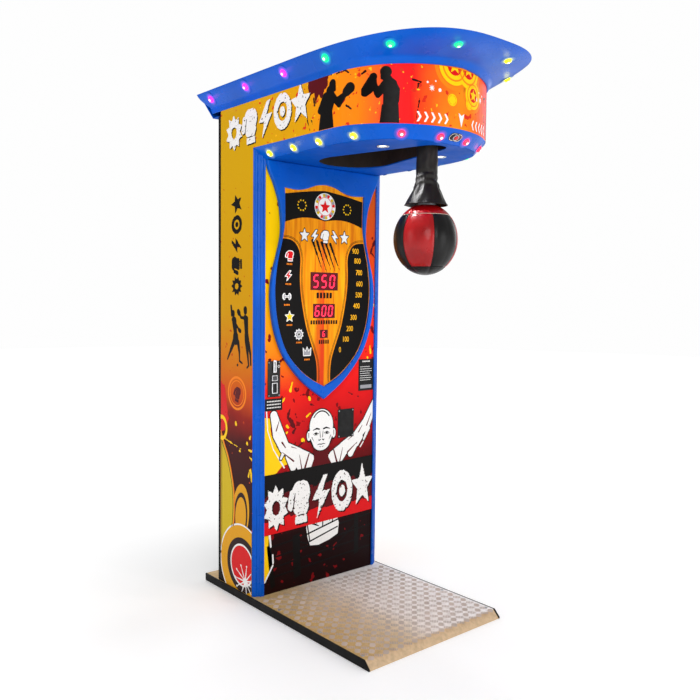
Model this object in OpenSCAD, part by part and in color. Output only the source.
/* [Overall] */
// Overall height, floor to the top edge of the canopy
total_h = 2120; // [2080:10:2180]
// Overall depth, canopy nose to the rear of the base
total_l = 1322; // [1300:2:1360]
// Width of the base
base_w = 700; // [690:5:760]
// Length of the base
base_l = 1095; // [1050:5:1150]
// Height of the top of the tread plate
deck_h = 32; // [30:1:36]

/* [Cabinet] */
// Width of the cabinet over its side panels
cab_w = 683; // [660:1:690]
// Depth of the cabinet from its front corners to its rear
cab_d = 292; // [280:2:320]
// Distance from the rear of the cabinet to the rear of the base
cab_setback = 97; // [80:1:110]
// Thickness of the side panels
side_t = 16; // [12:1:18]
// Width of a front corner post, seen from the front
post_w = 42.5; // [38:0.5:46]
// Depth of a front corner post, seen from the side
post_d = 28; // [24:1:32]
// Width of the black rear corner posts
rear_post_w = 20; // [18:1:24]
// Depth of the front panel behind the front corners
panel_inset = 8; // [6:1:12]
// Thickness of the front panel
panel_t = 12; // [10:1:16]

/* [Canopy] */
// Height of the flat soffit
soffit_z = 1812; // [1790:2:1830]
// Height of the lower edge of the printed canopy wall
wall_z = 1856; // [1846:2:1866]
// Height of the upper edge of the printed wall along the sides
wall_top_z = 2040; // [2030:2:2050]
// Extra height of that edge at the nose
wall_rise = 24; // [0:2:30]
// Overhang of the upper rim along the sides
rim_side = 48.5; // [40:0.5:60]
// Thickness of the moulded rims
rim_t = 4; // [3:0.5:6]

/* [Punch arm] */
// Height of the pivot shaft
pivot_z = 1885; // [1880:1:1890]
// Distance from the pivot to the middle of the ball
arm_l = 400; // [395:1:405]
// Diameter of the ball
ball_d = 235; // [220:1:240]
// Height of the ball
ball_h = 262; // [240:2:266]
// Radius of the pivot shaft
shaft_r = 10; // [8:1:12]
// Radius of the arm tube
tube_r = 17; // [15:1:20]
// Radius of the leather sleeve where it passes the soffit
sleeve_r = 40; // [36:1:44]
// Radius of the sleeve's flared skirt
skirt_r = 80; // [70:1:85]

/* [Shield and displays] */
// How far the shield bezel stands out from the front panel
bezel_t = 22; // [16:1:26]
// How far the score panel lies behind the face of the bezel
score_inset = 10; // [6:1:12]
// Width of the score display
led_w = 150; // [140:2:160]
// Height of the score display
led_h = 76; // [70:2:80]

/* [Lamps] */
// Radius of a coloured lamp cap
lamp_r = 10; // [8:0.5:12]
// Radius of a downlight
spot_r = 24; // [20:1:28]

/* [Hidden] */
$fn = 48;

// Places along the depth, front is -Y
base_rear = total_l / 2;
base_front = base_rear - base_l;
cab_rear = base_rear - cab_setback;
cab_front = cab_rear - cab_d;
half_w = cab_w / 2;
panel_y = cab_front + panel_inset;
panel_x = half_w - post_w;
gap = 0.3;

// Colours
blue = [0, 0.32, 0.85];
black = [0.06, 0.06, 0.06];
steel = [0.55, 0.56, 0.58];

// An edge seen from above is [half width, y where the nose starts, nose length,
// power of the nose curve, y of its rear end].
wall_edge = [half_w, -202, 283, 1.88, cab_front + post_d];
rim_foot = [half_w, -202, 283, 1.88, base_rear - 50];
rim_top = [half_w + rim_side, 16, total_l / 2 + 16, 2.9, base_rear];
soffit_edge = [panel_x, -20, 414, 2.76, cab_front];
nose_steps = 20;
stations = concat([0, 0.25, 0.5, 0.75], [for (i = [0:nose_steps]) 1 + i / nose_steps]);

// A point of an edge: q runs 0 to 1 along the straight side, 1 to 2 round the nose.
function edge_pt(e, q) = q <= 1 ? [e[0], e[4] + (e[1] - e[4]) * q]
    : [e[0] * pow(cos(90 * (q - 1)), 2 / e[3]), e[1] - e[2] * pow(sin(90 * (q - 1)), 2 / e[3])];
function edge_outline(e) = concat([for (q = stations) edge_pt(e, q)],
    [for (i = [len(stations) - 2:-1:0]) let (p = edge_pt(e, stations[i])) [-p[0], p[1]]]);
function shrink(e, d) = [e[0] - d, e[1], e[2] - d, e[3], e[4]];

// A moulded rim is a ruled band between two edges. f runs across, g runs up.
function upper_pt(q, f, g, lift = 0) = let (a = edge_pt(rim_foot, q), b = edge_pt(rim_top, q),
    low = wall_top_z + wall_rise * max(q - 1, 0))
    [a[0] + (b[0] - a[0]) * f, a[1] + (b[1] - a[1]) * f, low + (total_h - low) * g + lift];
function lower_pt(q, f, lift = 0) = let (a = edge_pt(wall_edge, q), b = edge_pt(soffit_edge, q))
    [a[0] + (b[0] - a[0]) * f, a[1] + (b[1] - a[1]) * f, wall_z + (soffit_z - wall_z) * f + lift];

// Smooth curve through points
function spline_pt(a, b, c, d, t) = 0.5 * (2 * b + (c - a) * t
    + (2 * a - 5 * b + 4 * c - d) * t * t + (3 * b - a - 3 * c + d) * t * t * t);
function smooth(p, n) = concat([for (i = [0:len(p) - 2], k = [0:n - 1])
    spline_pt(p[max(i - 1, 0)], p[i], p[i + 1], p[min(i + 2, len(p) - 1)], k / n)],
    [p[len(p) - 1]]);
function both_sides(p) = concat(p, [for (i = [len(p) - 2:-1:0]) [-p[i][0], p[i][1]]]);

// Joins rings of equal length into one closed solid
module loft(rings) {
    n = len(rings[0]);
    m = len(rings);
    polyhedron([for (r = rings, p = r) p],
        concat([[for (j = [0:n - 1]) j]],
            [[for (j = [n - 1:-1:0]) (m - 1) * n + j]],
            [for (i = [0:m - 2], j = [0:n - 1])
                [i * n + (j + 1) % n, i * n + j, (i + 1) * n + j, (i + 1) * n + (j + 1) % n]]));
}

// A plate drawn in X and Z whose face is at y_face and which goes back by t
module upright_plate(y_face, t) {
    translate([0, y_face + t, 0]) rotate([90, 0, 0]) linear_extrude(t) children();
}
module box_at(x0, x1, y0, y1, z0, z1) {
    translate([x0, y0, z0]) cube([x1 - x0, y1 - y0, z1 - z0]);
}
module mirrored() {
    children();
    mirror([1, 0, 0]) children();
}
module rod_x(r, x0, x1, y, z) {
    translate([x0, y, z]) rotate([0, 90, 0]) cylinder(r = r, h = x1 - x0);
}
module rod_y(r, y0, y1, x, z) {
    translate([x, y0, z]) rotate([-90, 0, 0]) cylinder(r = r, h = y1 - y0);
}

// ---------------------------------------------------------------- base
skirt_t = 5;
plate_t = 3;
foot_h = 8;
lip_l = 31;
rail_h = deck_h - plate_t - foot_h;
rail_w = 30;
rail_x = base_w / 2 - skirt_t - rail_w;
roller_r = 12;
roller_y = base_rear - roller_r - 2;
roller_z = roller_r + 1.5;
roller_x = 240;
module base_rail(x0, x1, y0, y1) {
    wall = 2;
    long_x = x1 - x0 > y1 - y0;
    difference() {
        box_at(x0, x1, y0, y1, foot_h, foot_h + rail_h);
        box_at(x0 + (long_x ? -1 : wall), x1 - (long_x ? -1 : wall),
            y0 + (long_x ? wall : -1), y1 - (long_x ? wall : -1),
            foot_h + wall, foot_h + rail_h - wall);
    }
}
module base_frame() {
    color(steel) {
        front = base_front + lip_l + 4;
        rear = roller_y - roller_r - 14;
        cross_n = 4;
        mirrored() base_rail(rail_x, rail_x + rail_w, front, rear);
        for (i = [0:cross_n]) {
            y = front + (rear - front - rail_w) * i / cross_n;
            base_rail(-rail_x, rail_x, y, y + rail_w);
        }
        // ears that carry the rollers
        for (side = [-1, 1], e = [-1, 1]) difference() {
            box_at(side * roller_x + e * 22 - 2, side * roller_x + e * 22 + 2, rear,
                roller_y + 6, roller_z - 6, foot_h + rail_h);
            rod_x(4.05, side * roller_x + e * 22 - 3, side * roller_x + e * 22 + 3,
                roller_y, roller_z);
        }
    }
}
module tread_plate() {
    color([0.72, 0.72, 0.7]) translate([-base_w / 2 + skirt_t, 0, 0])
        rotate([90, 0, 90]) linear_extrude(base_w - 2 * skirt_t)
            polygon([[base_front, 1], [base_front + lip_l, deck_h], [base_rear, deck_h],
                [base_rear, deck_h - plate_t], [base_front + lip_l + 1.5, deck_h - plate_t],
                [base_front + plate_t + 1, 1]]);
}
module side_skirts() {
    color(black) mirrored() translate([base_w / 2 - skirt_t, 0, 0])
        rotate([90, 0, 90]) linear_extrude(skirt_t)
            polygon([[base_front, 1], [base_front, 6], [base_front + lip_l - 5, deck_h + 0.6],
                [base_rear, deck_h + 0.6], [base_rear, 1]]);
}
foot_r = 14;
module rubber_feet() {
    color(black) for (x = [-1, 1], y = [base_front + 60, -40, cab_front + 40, cab_rear])
        translate([x * (rail_x + rail_w / 2), y, 0]) {
            cylinder(r1 = foot_r - 1, r2 = foot_r, h = 2);
            translate([0, 0, 2]) cylinder(r = foot_r, h = foot_h - 2);
        }
}
module transport_rollers() {
    // two rollers pressed on one through axle
    color([0.2, 0.2, 0.2]) {
        for (side = [-1, 1])
            rod_x(roller_r, side * roller_x - 17, side * roller_x + 17, roller_y, roller_z);
        rod_x(4, -roller_x - 28, roller_x + 28, roller_y, roller_z);
    }
}

// ---------------------------------------------------------------- cabinet
frame_tube = 25;
frame_x = half_w - side_t - frame_tube;
frame_top = 2030;
canopy_rail_x = 158;
canopy_rail_h = 40;
front_leg_y = cab_front + 36;
rear_leg_y = cab_rear - rear_post_w - frame_tube - 6;
module steel_frame() {
    color(steel) {
        mirrored() {
            for (y = [front_leg_y, rear_leg_y])
                box_at(frame_x, frame_x + frame_tube, y, y + frame_tube, deck_h, frame_top);
            for (z = [deck_h, 700, 1500, frame_top - canopy_rail_h])
                box_at(frame_x, frame_x + frame_tube, front_leg_y, rear_leg_y + frame_tube,
                    z, z + frame_tube);
            box_at(canopy_rail_x, canopy_rail_x + frame_tube, bracket_y0, rear_leg_y + frame_tube,
                frame_top - canopy_rail_h, frame_top);
        }
        for (y = [front_leg_y, rear_leg_y], z = [deck_h, frame_top - canopy_rail_h])
            box_at(-frame_x, frame_x, y, y + frame_tube, z, z + frame_tube);
    }
}
module side_panel() {
    box_at(half_w - side_t, half_w, cab_front + post_d, cab_rear - rear_post_w,
        deck_h, wall_top_z + 20);
}
module right_side_panel() { color([0.95, 0.75, 0]) side_panel(); }
module left_side_panel() { color([0.95, 0.75, 0]) mirror([1, 0, 0]) side_panel(); }
module rear_posts() {
    color(black) mirrored()
        box_at(half_w - rear_post_w, half_w, cab_rear - rear_post_w, cab_rear, deck_h, wall_top_z - 20);
}
door_w = 520;
door_z0 = 300;
door_z1 = 1500;
door_t = 12;
door_gap = 3;
inlet_x = 180;
inlet_z = 150;
vent_z = 1680;
module rear_panel() {
    color(black) difference() {
        box_at(-half_w + rear_post_w, half_w - rear_post_w, cab_rear - door_t, cab_rear,
            deck_h, wall_top_z - 20);
        box_at(-door_w / 2 - door_gap, door_w / 2 + door_gap, cab_rear - 20, cab_rear + 1,
            door_z0 - door_gap, door_z1 + door_gap);
        box_at(inlet_x - 14, inlet_x + 14, cab_rear - 20, cab_rear + 1, inlet_z - 24, inlet_z + 24);
        for (i = [0:7])
            box_at(-90, 90, cab_rear - 20, cab_rear + 1, vent_z + i * 16, vent_z + i * 16 + 7);
    }
}
hinge_x = -door_w / 2 - 1.5;
hinge_y = cab_rear + 7;
hinge_z = [door_z0 + 120, door_z1 - 200];
knuckle_h = 26;
lock_z = 900;
lock_x = door_w / 2 - 40;
module rear_door() {
    color([0.1, 0.1, 0.1]) difference() {
        box_at(-door_w / 2, door_w / 2, cab_rear - door_t, cab_rear, door_z0, door_z1);
        rod_y(10, cab_rear - door_t - 1, cab_rear + 1, lock_x, lock_z);
    }
}
module door_hinge_pins() {
    color(steel) for (z = hinge_z) {
        translate([hinge_x, hinge_y, z]) cylinder(r = 3, h = 3 * knuckle_h);
        for (k = [0, 2]) translate([hinge_x, hinge_y, z + k * knuckle_h]) {
            difference() {
                cylinder(r = 6, h = knuckle_h - 0.5);
                translate([0, 0, -1]) cylinder(r = 2.9, h = knuckle_h + 1);
            }
        }
        for (k = [0, 2])
            box_at(hinge_x - 34, hinge_x - 4, cab_rear, cab_rear + 2.5, z + k * knuckle_h,
                z + (k + 1) * knuckle_h - 0.5);
        for (k = [0, 2])
            box_at(hinge_x - 6, hinge_x - 4, cab_rear, hinge_y, z + k * knuckle_h,
                z + (k + 1) * knuckle_h - 0.5);
    }
}
module door_knuckles() {
    color(steel) for (z = hinge_z) difference() {
        union() {
            translate([hinge_x, hinge_y, z + knuckle_h]) cylinder(r = 6, h = knuckle_h - 0.5);
            box_at(hinge_x + 4, hinge_x + 34, cab_rear, cab_rear + 2.5, z + knuckle_h,
                z + 2 * knuckle_h - 0.5);
            box_at(hinge_x + 4, hinge_x + 6, cab_rear, hinge_y, z + knuckle_h,
                z + 2 * knuckle_h - 0.5);
        }
        translate([hinge_x, hinge_y, z + knuckle_h - 1]) cylinder(r = 3.05, h = knuckle_h + 2);
    }
}
module lock_cylinder() {
    color(steel) difference() {
        union() {
            rod_y(10, cab_rear - door_t - 6, cab_rear, lock_x, lock_z);
            rod_y(14, cab_rear, cab_rear + 4, lock_x, lock_z);
        }
        box_at(lock_x - 1, lock_x + 1, cab_rear, cab_rear + 5, lock_z - 5, lock_z + 5);
    }
}
module lock_cam() {
    color(steel) {
        rod_y(8, cab_rear - door_t - 10, cab_rear - door_t - 6, lock_x, lock_z);
        box_at(lock_x - 8, lock_x + 8, cab_rear - door_t - 9, cab_rear - door_t - 6.5,
            lock_z - 62, lock_z + 8);
    }
}

// Corner post: a chamfer with two raised ribs, mitred at the top to meet the lower rim
rib_h = 3;
rib_profile = [[0, 0], [0.16, 0], [0.2, 1], [0.34, 1], [0.38, 0], [0.6, 0], [0.64, 1],
    [0.78, 1], [0.82, 0], [1, 0]];
chamfer_l = norm([post_w, post_d]);
function post_pt(s, d) = [half_w - post_w * s + d * rib_h * post_d / chamfer_l,
    cab_front + post_d * (1 - s) - d * rib_h * post_w / chamfer_l];
module front_posts() {
    post_wall = 3;
    color(blue) mirrored() difference() {
        translate([0, 0, deck_h]) linear_extrude(wall_z - deck_h) polygon(concat(
            [for (p = rib_profile) post_pt(p[0], p[1])],
            [[panel_x, panel_y + panel_t], [panel_x + post_wall, panel_y + panel_t],
                [panel_x + post_wall, cab_front + post_wall * 1.9],
                [half_w - post_wall * 1.7, cab_front + post_d]]));
        // mitre
        translate([0, base_rear, 0]) rotate([90, 0, 0]) linear_extrude(total_l)
            polygon([[panel_x - 1, soffit_z - 1], [half_w + 1, wall_z + 1],
                [half_w + 1, wall_z + 60], [panel_x - 1, wall_z + 60]]);
    }
}

// ---------------------------------------------------------------- front
score_z = 1336;
high_z = 1210;
credit_z = 1112;
high_w = 120;
high_h = 61;
credit_w = 43;
credit_h = 35;
coin_x = -251;
coin_z = 932;
coin_w = 61;
coin_h = 148;
service_x = 138;
service_z = 712;
service_w = 92;
service_h = 127;
rules_x = 254;
rules_z = 921;
price_z = 826;
bezel_y = panel_y - bezel_t;
score_y = bezel_y + score_inset;
// Right half of the bezel's outline and of the score panel's, from the top to the tip
bezel_half = smooth([[panel_x - gap, 1800], [288, 1768], [262, 1718], [238, 1650], [228, 1575],
    [230, 1510], [250, 1430], [272, 1350], [279, 1270], [270, 1180], [244, 1088],
    [200, 1005], [110, 908], [0, 832]], 4);
score_half = concat(smooth([[0, 1741], [50, 1734], [100, 1716], [150, 1707], [213, 1711]], 4),
    smooth([[211, 1640], [211, 1575], [222, 1505], [244, 1420], [256, 1340], [258, 1270],
        [248, 1180], [222, 1090], [180, 1015], [95, 936], [0, 886]], 4));
module bezel_outline() {
    polygon(both_sides(concat([[0, soffit_z - gap], [panel_x - gap, soffit_z - gap]], bezel_half)));
}
module score_outline() { polygon(both_sides(score_half)); }
module window(x, z, w, h) { translate([x - w / 2, z - h / 2]) square([w, h]); }
module shield_bezel() {
    color(blue) upright_plate(bezel_y, bezel_t) difference() {
        bezel_outline();
        score_outline();
    }
}
module score_panel() {
    color([1, 0.5, 0.05]) upright_plate(score_y, 5) difference() {
        score_outline();
        window(0, score_z, led_w, led_h);
        window(0, high_z, high_w, high_h);
        window(0, credit_z, credit_w, credit_h);
    }
}
module led_module(z, w, h) {
    color([0.25, 0, 0.03]) upright_plate(score_y + 1.5, 16) window(0, z, w - 0.4, h - 0.4);
}
module score_display() { led_module(score_z, led_w, led_h); }
module high_score_display() { led_module(high_z, high_w, high_h); }
module credit_display() { led_module(credit_z, credit_w, credit_h); }
module front_panel() {
    color([0.9, 0.15, 0.05]) upright_plate(panel_y, panel_t) difference() {
        translate([-panel_x, deck_h]) square([2 * panel_x, soffit_z - deck_h]);
        window(0, (score_z + credit_z) / 2, led_w + 8, score_z - credit_z + led_h + 12);
        window(coin_x, coin_z, coin_w - 14, coin_h - 26);
    }
}
plate_y = panel_y - 3;
reject_z = coin_z + 4;
flap_z = coin_z - 38;
flap_w = 26;
flap_h = 38;
module coin_plate() {
    color(black) {
        upright_plate(plate_y, 3) difference() {
            window(coin_x, coin_z, coin_w, coin_h);
            window(coin_x, coin_z + 48, 4, 30);
            window(coin_x, reject_z, 21, 17);
            window(coin_x, flap_z, flap_w + 1, flap_h + 1);
        }
        // raised coin entry and raised frame of the reject button
        upright_plate(plate_y - 4, 4) difference() {
            window(coin_x, coin_z + 48, 14, 40);
            window(coin_x, coin_z + 48, 4, 30);
        }
        upright_plate(plate_y - 3, 3) difference() {
            window(coin_x, reject_z, 30, 26);
            window(coin_x, reject_z, 21, 17);
        }
    }
}
module coin_reject_button() {
    color([0.5, 0.5, 0.52]) {
        upright_plate(plate_y - 7, 9) window(coin_x, reject_z, 20, 16);
        upright_plate(plate_y + 2, 8) window(coin_x, reject_z, 8, 8);
    }
}
flap_top_z = flap_z + flap_h / 2 - 2;
module coin_return_flap() {
    color([0.75, 0.75, 0.77]) {
        upright_plate(plate_y + 0.5, 2) window(coin_x, flap_z - 0.5, flap_w, flap_h - 1);
        rod_x(1.5, coin_x - flap_w / 2, coin_x + flap_w / 2, plate_y + 1.5, flap_top_z);
    }
}
module coin_validator() {
    color([0.15, 0.15, 0.17]) difference() {
        box_at(coin_x - 24, coin_x + 24, panel_y + panel_t, panel_y + panel_t + 65,
            coin_z - 10, coin_z + 100);
        box_at(coin_x - 2, coin_x + 2, panel_y + panel_t - 1, panel_y + panel_t + 50,
            coin_z + 30, coin_z + 66);
    }
}
chute_z0 = 620;
module coin_chute() {
    color(steel) difference() {
        box_at(coin_x - 12, coin_x + 12, panel_y + panel_t + 30, panel_y + panel_t + 62,
            chute_z0, coin_z - 10);
        box_at(coin_x - 10, coin_x + 10, panel_y + panel_t + 32, panel_y + panel_t + 60,
            chute_z0 - 1, coin_z - 9);
    }
}
cash_x0 = -290;
cash_x1 = -120;
cash_y0 = panel_y + panel_t + 8;
cash_y1 = cab_rear - 62;
cash_z0 = 420;
cash_z1 = 600;
module cash_box() {
    wall = 2;
    color([0.3, 0.32, 0.35]) {
        difference() {
            box_at(cash_x0, cash_x1, cash_y0, cash_y1, cash_z0, cash_z1);
            box_at(cash_x0 + wall, cash_x1 - wall, cash_y0 + wall, cash_y1 - wall,
                cash_z0 + wall, cash_z1 + 1);
        }
        // carrying handle on the door side
        for (x = [-1, 1])
            box_at((cash_x0 + cash_x1) / 2 + x * 45 - 4, (cash_x0 + cash_x1) / 2 + x * 45 + 4,
                cash_y1, cash_y1 + 22, 500, 508);
        box_at((cash_x0 + cash_x1) / 2 - 49, (cash_x0 + cash_x1) / 2 + 49, cash_y1 + 18,
            cash_y1 + 26, 500, 508);
    }
}
module service_plate() {
    color(black) upright_plate(panel_y - 2, 2) window(service_x, service_z, service_w, service_h);
}
module label_plates() {
    color(black) {
        upright_plate(panel_y - 1.5, 1.5) window(rules_x, rules_z, 88, 142);
        upright_plate(panel_y - 1.5, 1.5) window(coin_x, price_z, 86, 50);
    }
}
module dome_screw(x, y, z, r = 3.5) {
    translate([x, y, z]) rotate([90, 0, 0]) rotate_extrude()
        polygon([[0, 0], [r, 0], [r * 0.85, r * 0.35], [r * 0.4, r * 0.6], [0, r * 0.65]]);
}
module screws() {
    color([0.7, 0.7, 0.72]) {
        for (x = [-1, 1], z = [-1, 1]) {
            dome_screw(service_x + x * (service_w / 2 - 7), panel_y - 2,
                service_z + z * (service_h / 2 - 7));
            dome_screw(coin_x + x * (coin_w / 2 - 5), plate_y, coin_z + z * (coin_h / 2 - 6), 3);
        }
        // screws that hold the tread plate down
        for (x = [-1, 1], y = [base_front + 55, -140, 120])
            translate([x * (rail_x + rail_w / 2), y, deck_h]) cylinder(r1 = 7, r2 = 5, h = 1.8);
    }
}

// ---------------------------------------------------------------- canopy
module canopy_wall() {
    wall = 3;
    color([1, 0.55, 0.05]) translate([0, 0, wall_z + gap])
        linear_extrude(wall_top_z + wall_rise + 12 - wall_z) difference() {
            polygon(edge_outline(wall_edge));
            polygon(concat([[half_w - wall, wall_edge[4] + 1]],
                edge_outline(shrink(wall_edge, wall)), [[-half_w + wall, wall_edge[4] + 1]]));
        }
}
// Section of the upper rim: [across, up, lift] with a small lower lip and then a cove
rim_outer = [[0, 0, 0], [0.04, 0.01, 0], [0.13, 0.24, 0], [0.2, 0.33, 0], [0.34, 0.42, 0],
    [0.55, 0.56, 0], [0.75, 0.71, 0], [0.9, 0.86, 0], [1, 1, 0]];
rim_inner = [for (p = rim_outer) if (p[0] < 0.8) [p[0], p[1], rim_t]];
rim_section = concat(rim_outer, [[0.9, 1, 0]],
    [for (i = [len(rim_inner) - 1:-1:0]) rim_inner[i]]);
all_stations = concat([for (q = stations) [1, q]],
    [for (i = [len(stations) - 2:-1:0]) [-1, stations[i]]]);
function flip(p, side) = [p[0] * side, p[1], p[2]];
module upper_rim() {
    color(blue) difference() {
        loft([for (s = all_stations)
            [for (c = rim_section) flip(upper_pt(s[1], c[0], c[1], c[2]), s[0])]]);
        for (i = [0:11]) at_upper_lamp(i) lamp_hole();
    }
}
module roof_cover() {
    roof_z = total_h - 13;
    inset = 56;
    eave_z = wall_top_z - 20;
    board_x = rim_top[0] - 19;
    bend_z = wall_top_z + 11;
    color(blue) {
        // flat roof inside the top edge
        translate([0, 0, roof_z]) linear_extrude(3)
            polygon(edge_outline([rim_top[0] - 16, rim_top[1], rim_top[2] - inset, rim_top[3],
                rim_top[4] - 8]));
        // sloping rear board and the eave under it
        hull() {
            box_at(-half_w, half_w, base_rear - 54, base_rear - 52, eave_z, eave_z + 3);
            box_at(-half_w, half_w, base_rear - 39, base_rear - 37, bend_z, bend_z + 1);
            box_at(-board_x, board_x, base_rear - 12, base_rear - 10, roof_z - 3, roof_z);
        }
        box_at(-half_w, half_w, cab_rear, base_rear - 52, eave_z, eave_z + 3);
    }
}
rim_wall = 0.09;
start_f = 0.5;
nose_a = edge_pt(wall_edge, 2);
nose_b = edge_pt(soffit_edge, 2);
// angle that turns +Z onto the outward normal of the nose chamfer
start_tilt = 180 - atan2(wall_z - soffit_z, nose_b[1] - nose_a[1]);
start_pos = lower_pt(2, start_f);
module at_start() { translate(start_pos) rotate([start_tilt, 0, 0]) children(); }
module lower_rim() {
    color(blue) difference() {
        loft([for (s = all_stations) [for (c = [[0, 0], [1, 0], [1, rim_t], [rim_wall, rim_t]])
            flip(lower_pt(s[1], c[0], c[1]), s[0])]]);
        at_start() translate([0, 0, -20]) cylinder(r = 10.5, h = 40);
        for (i = [0:11]) at_lower_lamp(i) lamp_hole();
    }
}
well_y = 70;
well_r = 150;
neck_y = -344;
neck_r = 55;
module teardrop(grow) {
    hull() {
        translate([0, well_y]) circle(r = well_r + grow, $fn = 64);
        translate([0, neck_y]) circle(r = neck_r + grow, $fn = 32);
    }
}
spot_x = 150;
spot_y = -248;
module soffit_panel() {
    color(blue) translate([0, 0, soffit_z]) linear_extrude(4) difference() {
        polygon(concat([[panel_x, panel_y]], edge_outline(soffit_edge), [[-panel_x, panel_y]]));
        teardrop(0);
        for (x = [-1, 1]) translate([x * spot_x, spot_y]) circle(r = spot_r - 2);
    }
}
pivot_y = -324;
liner_top = frame_top - 2;
module well_liner() {
    wall = 3;
    color(black) difference() {
        translate([0, 0, soffit_z + 4]) linear_extrude(liner_top - soffit_z - 4) teardrop(wall);
        translate([0, 0, soffit_z + 3]) linear_extrude(liner_top - soffit_z - 3 - wall) teardrop(0);
        rod_x(shaft_r + 4, -well_r, well_r, pivot_y, pivot_z);
    }
}
pad_z = pivot_z + ball_d / 2 + 2;
module buffer_pads() {
    color([0.15, 0.15, 0.16]) {
        // roof pad that stops the ball
        translate([0, pivot_y + arm_l, pad_z]) cylinder(r = 95, h = liner_top - 3 - pad_z);
        // nose pad in front of the sleeve
        box_at(-22, 22, neck_y - neck_r + 6, neck_y - neck_r + 18, soffit_z + 8, soffit_z + 48);
    }
}

// A lamp stands on a rim at point p, facing along n, with its stem through a hole
module at_lamp(p, n) {
    translate(p) rotate([0, acos(n[2] / norm(n)), atan2(n[1], n[0])]) children();
}
lamp_seat = 1;
module lamp() {
    rotate_extrude() polygon([[0, -7], [lamp_r * 0.6, -7], [lamp_r * 0.6, lamp_seat],
        [lamp_r, lamp_seat], [lamp_r, 2.5], [lamp_r * 0.85, 6.5], [lamp_r * 0.55, 9],
        [lamp_r * 0.2, 10], [0, 10]]);
}
module lamp_hole() { translate([0, 0, -16]) cylinder(r = lamp_r * 0.6 + 0.2, h = 24, $fn = 24); }
lamp_f = 0.62;
lamp_g = 0.615;
step = 0.01;
function upper_normal(q) = cross(upper_pt(q, lamp_f + 0.1, lamp_g + 0.075)
    - upper_pt(q, lamp_f - 0.1, lamp_g - 0.075), upper_pt(q + step, lamp_f, lamp_g)
    - upper_pt(q - step, lamp_f, lamp_g));
function lower_normal(q) = cross(lower_pt(q + step, 0.5) - lower_pt(q - step, 0.5),
    lower_pt(q, 0.6) - lower_pt(q, 0.4));
upper_q = [0.1, 0.47, 0.83, 1.09, 1.44, 1.83];
lower_q = [0.167, 0.585, 1.0, 1.25, 1.6, 1.9];
lower_lamp_f = 0.62;
// Lamps are numbered from the rear of the left side, round the nose, to the right side
module at_upper_lamp(i) {
    side = i < 6 ? -1 : 1;
    q = upper_q[i < 6 ? i : 11 - i];
    n = upper_normal(q);
    at_lamp(flip(upper_pt(q, lamp_f, lamp_g), side), flip(n[2] > 0 ? -n : n, side)) children();
}
module at_lower_lamp(i) {
    side = i < 6 ? -1 : 1;
    q = lower_q[i < 6 ? i : 11 - i];
    n = lower_normal(q);
    at_lamp(flip(lower_pt(q, lower_lamp_f), side), flip(n[2] > 0 ? -n : n, side)) children();
}
module upper_lamp(i) { at_upper_lamp(i) lamp(); }
module lower_lamp(i) { at_lower_lamp(i) lamp(); }
module lamps_magenta() { color([1, 0.2, 1]) for (i = [0:2]) upper_lamp(i); }
module lamps_green() {
    color([0.1, 1, 0.4]) {
        for (i = [3:5]) upper_lamp(i);
        for (i = [8:11]) lower_lamp(i);
    }
}
module lamps_yellow() {
    color([1, 1, 0.2]) {
        for (i = [6:8]) upper_lamp(i);
        for (i = [0:3]) lower_lamp(i);
    }
}
module lamps_red() {
    color([1, 0.15, 0.2]) {
        for (i = [9:11]) upper_lamp(i);
        for (i = [4:7]) lower_lamp(i);
    }
}
module downlights() {
    color([0.9, 0.9, 0.9]) for (x = [-1, 1]) translate([x * spot_x, spot_y, soffit_z - 2])
        rotate_extrude() polygon([[0, 3], [spot_r - 7, 3], [spot_r - 5, 0], [spot_r, 0],
            [spot_r, 2], [spot_r - 2.5, 2], [spot_r - 2.5, 22], [0, 22]]);
}
start_w = 62;
start_h = 34;
button_r = 8.5;
module start_plate() {
    color(black) at_start() {
        linear_extrude(2) difference() {
            union() {
                square([start_w - start_h, start_h], center = true);
                for (x = [-1, 1]) translate([x * (start_w - start_h) / 2, 0]) circle(d = start_h);
            }
            circle(r = button_r + gap);
        }
        translate([0, 0, 2]) linear_extrude(3) difference() {
            circle(r = button_r + 3);
            circle(r = button_r + gap);
        }
        translate([0, 0, -24]) linear_extrude(24) difference() {
            circle(r = button_r + 1.8);
            circle(r = button_r + gap);
        }
    }
}
module start_button() {
    color([0.9, 0.05, 0.05]) at_start() translate([0, 0, -14]) rotate_extrude()
        polygon([[0, 0], [button_r, 0], [button_r, 21], [button_r * 0.8, 22.6], [0, 23.4]]);
}

// ---------------------------------------------------------------- punch mechanism
bracket_x = 88;
bracket_t = 6;
bracket_y0 = pivot_y - 88;
bracket_y1 = pivot_y + 74;
bracket_z0 = pivot_z - 49;
pawl_y = pivot_y - 50;
pawl_z = pivot_z - 39;
pawl_x = 119;
pawl_tilt = 25;
pawl_l = 43;
tail_l = 25;
module mech_bracket() {
    color(steel) {
        mirrored() difference() {
            box_at(bracket_x, bracket_x + bracket_t, bracket_y0, bracket_y1, bracket_z0, frame_top);
            rod_x(shaft_r + 5, bracket_x - 1, bracket_x + bracket_t + 1, pivot_y, pivot_z);
        }
        box_at(-canopy_rail_x - frame_tube, canopy_rail_x + frame_tube, bracket_y0, bracket_y1,
            frame_top, frame_top + 6);
        // pin that the latch pawl turns on
        rod_x(4, bracket_x + bracket_t, pawl_x + 8, pawl_y, pawl_z);
    }
}
bearing_x = bracket_x + bracket_t;
bearing_w = 18;
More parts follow.
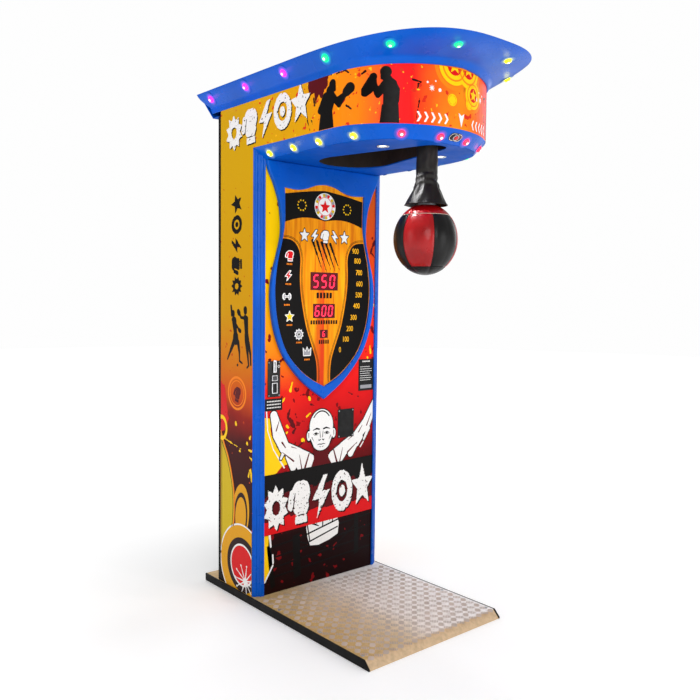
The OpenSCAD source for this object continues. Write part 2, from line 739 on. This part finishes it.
module bearing_blocks() {
    color([0.3, 0.33, 0.4]) mirrored() difference() {
        union() {
            box_at(bearing_x, bearing_x + 8, pivot_y - 28, pivot_y + 28, pivot_z - 28, pivot_z + 28);
            rod_x(22, bearing_x, bearing_x + bearing_w, pivot_y, pivot_z);
        }
        rod_x(shaft_r + 0.05, bearing_x - 1, bearing_x + bearing_w + 1, pivot_y, pivot_z);
    }
}
shaft_x = 130;
module pivot_shaft() { color([0.8, 0.8, 0.82]) rod_x(shaft_r, -shaft_x, shaft_x, pivot_y, pivot_z); }
ball_z = pivot_z - arm_l;
ball_flat = 40;
ball_top = ball_z + ball_h / 2 * sqrt(1 - pow(2 * ball_flat / ball_d, 2));
module arm_tube() {
    hub_r = 25;
    hub_x = 50;
    flange_r = 36;
    color([0.25, 0.25, 0.27]) difference() {
        union() {
            rod_x(hub_r, -hub_x, hub_x, pivot_y, pivot_z);
            translate([0, pivot_y, ball_top]) {
                cylinder(r = tube_r, h = pivot_z - ball_top);
                cylinder(r = flange_r, h = 5);
            }
        }
        rod_x(shaft_r, -hub_x - 1, hub_x + 1, pivot_y, pivot_z);
    }
}
module ball() {
    steps = 28;
    low = -90;
    high = acos(2 * ball_flat / ball_d);
    color([0.6, 0.02, 0.03]) translate([0, pivot_y, ball_z]) rotate_extrude($fn = 72)
        polygon(concat([for (i = [0:steps]) let (a = low + (high - low) * i / steps)
            [max(ball_d / 2 * cos(a), 0), ball_h / 2 * sin(a)]], [[0, ball_top - ball_z]]));
}
hem_z = ball_top + 1;
sleeve_top = pivot_z - 34;
module arm_sleeve() {
    color([0.08, 0.07, 0.06]) translate([0, pivot_y, 0]) rotate_extrude($fn = 64)
        polygon([[tube_r + gap, sleeve_top], [sleeve_r, sleeve_top], [sleeve_r, 1720],
            [sleeve_r + 4, 1680], [sleeve_r + 16, 1650], [skirt_r - 6, hem_z + 12],
            [skirt_r, hem_z - 2], [skirt_r - 4, hem_z - 4], [skirt_r - 10, hem_z + 6],
            [40, hem_z + 8], [tube_r + gap, hem_z + 30]]);
}
disc_x = 120;
module encoder_disc() {
    slots = 24;
    color([0.1, 0.1, 0.1]) translate([-disc_x, pivot_y, pivot_z]) rotate([0, -90, 0])
        linear_extrude(2) difference() {
            circle(r = 42);
            circle(r = shaft_r);
            for (i = [0:slots - 1]) rotate(i * 360 / slots) translate([32, -1.5]) square([6, 3]);
        }
}
module speed_sensor() {
    color([0.1, 0.3, 0.15]) {
        box_at(-disc_x - 12, -disc_x + 10, pivot_y + 45, pivot_y + 60, pivot_z - 8, pivot_z + 8);
        for (x = [-disc_x - 12, -disc_x + 4])
            box_at(x, x + 6, pivot_y + 30, pivot_y + 45, pivot_z - 8, pivot_z + 8);
        box_at(-disc_x + 10, -bearing_x, pivot_y + 50, pivot_y + 58, pivot_z - 6, pivot_z + 6);
    }
}
module latch_crank() {
    crank_l = 45;
    color(steel) difference() {
        union() {
            rod_x(18, pawl_x - 3, pawl_x + 3, pivot_y, pivot_z);
            rod_x(5, pawl_x - 5, pawl_x + 5, pivot_y - crank_l, pivot_z);
            box_at(pawl_x - 3, pawl_x + 3, pivot_y - crank_l, pivot_y, pivot_z - 5, pivot_z + 5);
        }
        rod_x(shaft_r, pawl_x - 4, pawl_x + 4, pivot_y, pivot_z);
    }
}
module latch_pawl() {
    color([0.75, 0.6, 0.2]) translate([pawl_x, pawl_y, pawl_z]) rotate([-pawl_tilt, 0, 0])
        difference() {
            union() {
                box_at(-4, 4, -tail_l, pawl_l, -4, 4);
                rod_x(8, -4, 4, 0, 0);
            }
            rod_x(4.05, -5, 5, 0, 0);
        }
}
sol_y = pawl_y - 22.5;
sol_z0 = pawl_z + 32;
sol_h = 40;
plunger_r = 5;
plunger_tip = pawl_z + tail_l * sin(pawl_tilt) + 5.4;
module solenoid() {
    color([0.2, 0.22, 0.25]) difference() {
        box_at(bearing_x, bearing_x + 50, sol_y - 12, sol_y + 12, sol_z0, sol_z0 + sol_h);
        translate([pawl_x, sol_y, sol_z0 - 1]) cylinder(r = plunger_r + gap, h = sol_h - 4);
    }
}
module solenoid_plunger() {
    color([0.8, 0.8, 0.82]) translate([pawl_x, sol_y, plunger_tip])
        cylinder(r = plunger_r, h = sol_z0 + sol_h - 8 - plunger_tip);
}

// ---------------------------------------------------------------- electrics
module controller_board() {
    y = cab_rear - door_t - 60;
    color([0.05, 0.35, 0.15]) {
        box_at(60, 260, y, y + 2, 1000, 1220);
        for (z = [1020, 1060, 1120]) box_at(80, 130, y + 2, y + 12, z, z + 26);
        for (x = [150, 200]) box_at(x, x + 30, y + 2, y + 6, 1080, 1110);
    }
}
module power_supply() {
    color([0.7, 0.7, 0.7]) difference() {
        box_at(60, 220, panel_y + panel_t + 30, panel_y + panel_t + 130, deck_h + 25, deck_h + 75);
        for (i = [0:9])
            box_at(76 + i * 13, 82 + i * 13, panel_y + panel_t + 45, panel_y + panel_t + 115,
                deck_h + 72, deck_h + 76);
    }
}
module power_inlet() {
    color(black) difference() {
        union() {
            box_at(inlet_x - 14, inlet_x + 14, cab_rear - 30, cab_rear, inlet_z - 24, inlet_z + 24);
            box_at(inlet_x - 25, inlet_x + 25, cab_rear, cab_rear + 3, inlet_z - 32, inlet_z + 32);
        }
        box_at(inlet_x - 10, inlet_x + 10, cab_rear - 16, cab_rear + 4, inlet_z - 14, inlet_z + 6);
    }
}

base_frame();
tread_plate();
side_skirts();
rubber_feet();
transport_rollers();
steel_frame();
left_side_panel();
right_side_panel();
rear_posts();
rear_panel();
rear_door();
door_hinge_pins();
door_knuckles();
lock_cylinder();
lock_cam();
front_posts();
front_panel();
shield_bezel();
score_panel();
score_display();
high_score_display();
credit_display();
coin_plate();
coin_reject_button();
coin_return_flap();
coin_validator();
coin_chute();
cash_box();
service_plate();
label_plates();
screws();
canopy_wall();
upper_rim();
roof_cover();
lower_rim();
soffit_panel();
well_liner();
buffer_pads();
lamps_magenta();
lamps_green();
lamps_yellow();
lamps_red();
downlights();
start_plate();
start_button();
mech_bracket();
bearing_blocks();
pivot_shaft();
arm_tube();
ball();
arm_sleeve();
encoder_disc();
speed_sensor();
latch_crank();
latch_pawl();
solenoid();
solenoid_plunger();
controller_board();
power_supply();
power_inlet();
